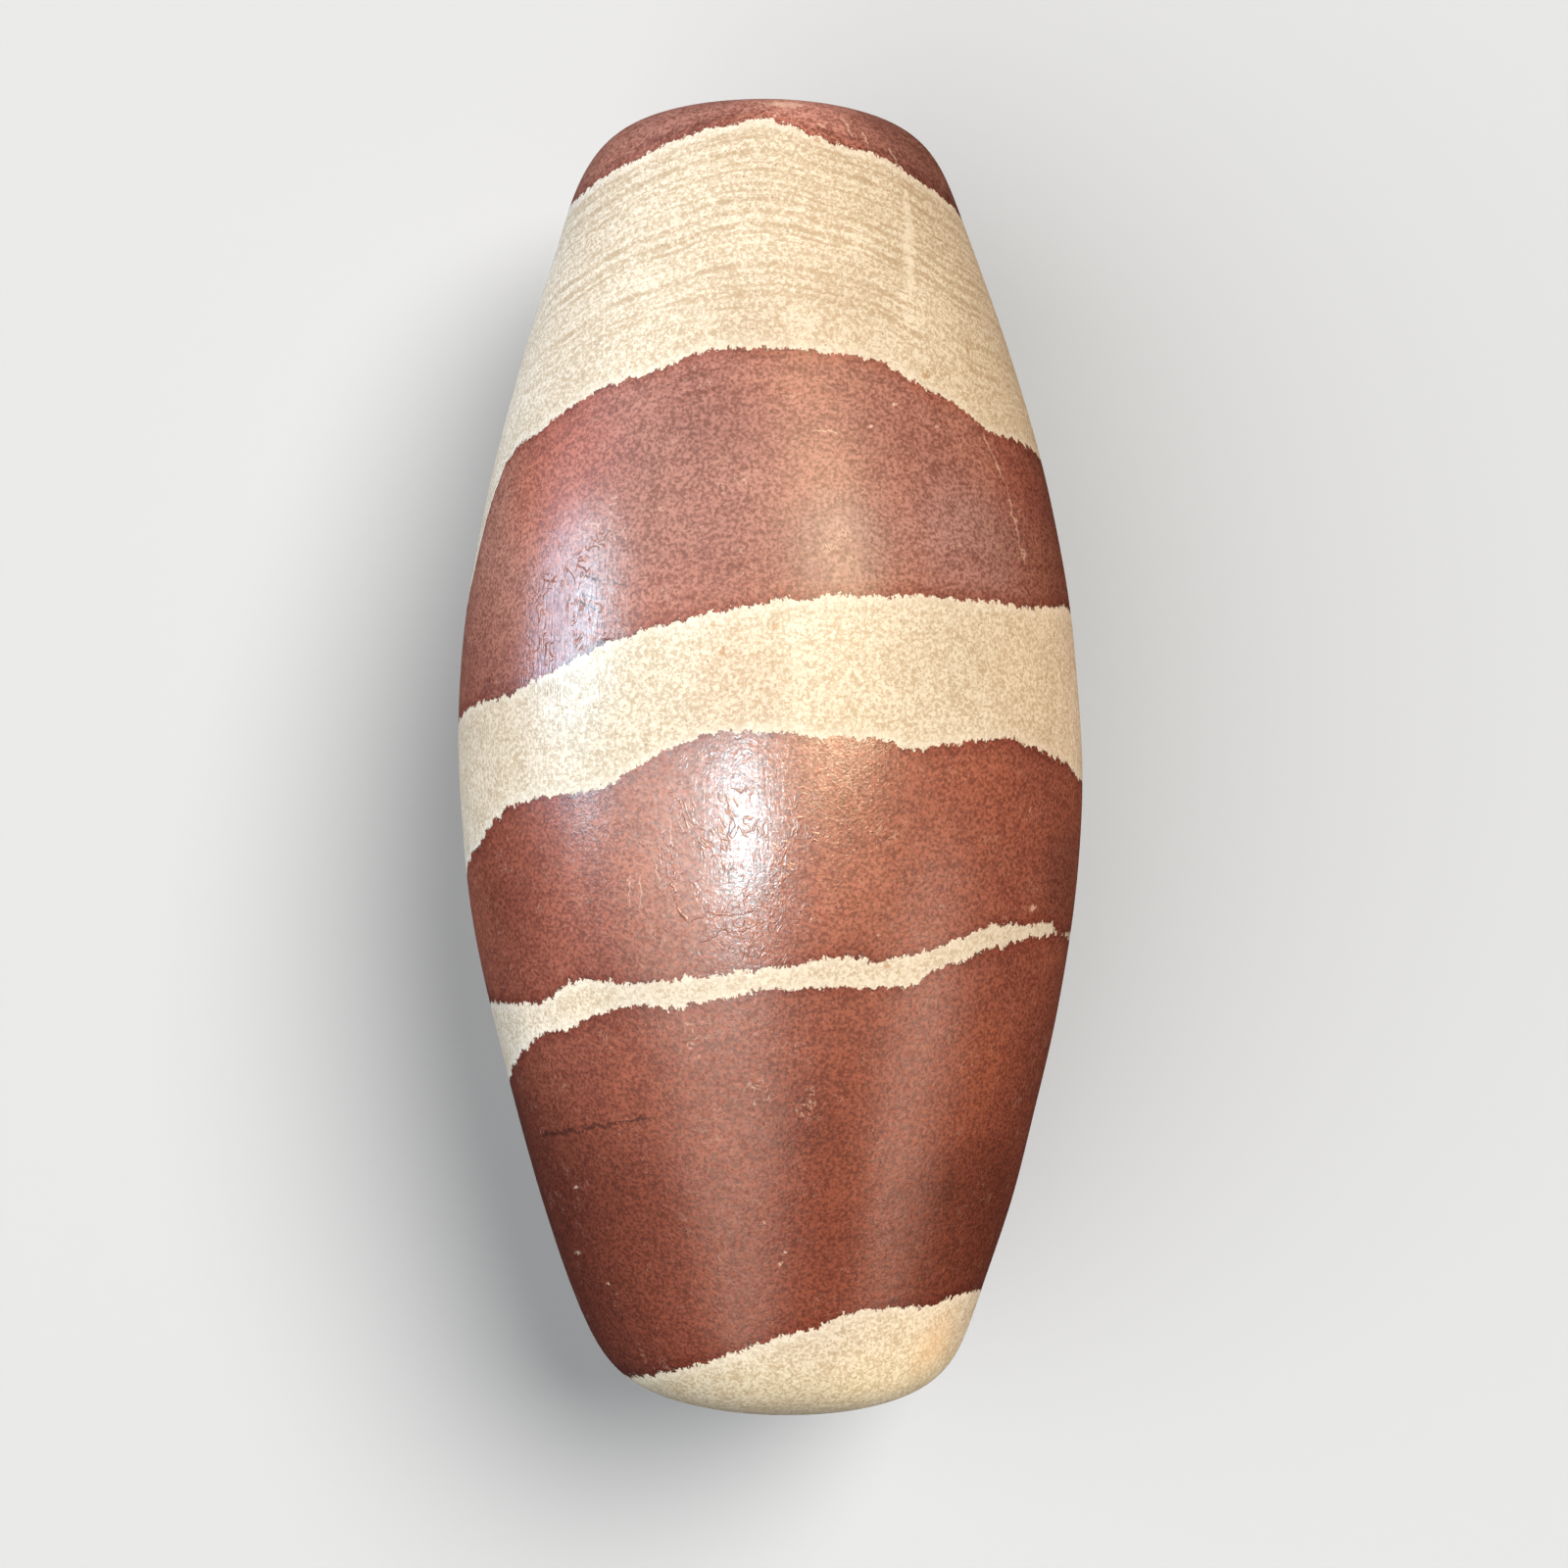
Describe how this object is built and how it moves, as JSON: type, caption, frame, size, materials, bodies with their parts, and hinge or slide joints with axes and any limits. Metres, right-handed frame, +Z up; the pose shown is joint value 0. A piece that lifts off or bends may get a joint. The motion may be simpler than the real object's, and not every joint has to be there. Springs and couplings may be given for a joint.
{
  "type": "shiva lingam stone",
  "caption": "Barrel-shaped river stone with softly domed ends and slanting red-brown and cream bands, smooth and lying on its side on a small worn flat.",
  "frame": {"origin": "middle of the stone's length and width, on the small flat that it rests on", "axes": "+Y along the stone towards the end with the red cap, +X across it, +Z up from the flat"},
  "size_m": [0.072, 0.15, 0.069],
  "materials": {
    "banded_stone": "hand-rubbed satin"
  },
  "bodies": {
    "root": {"stone": "banded_stone"}
  },
  "joints": []
}
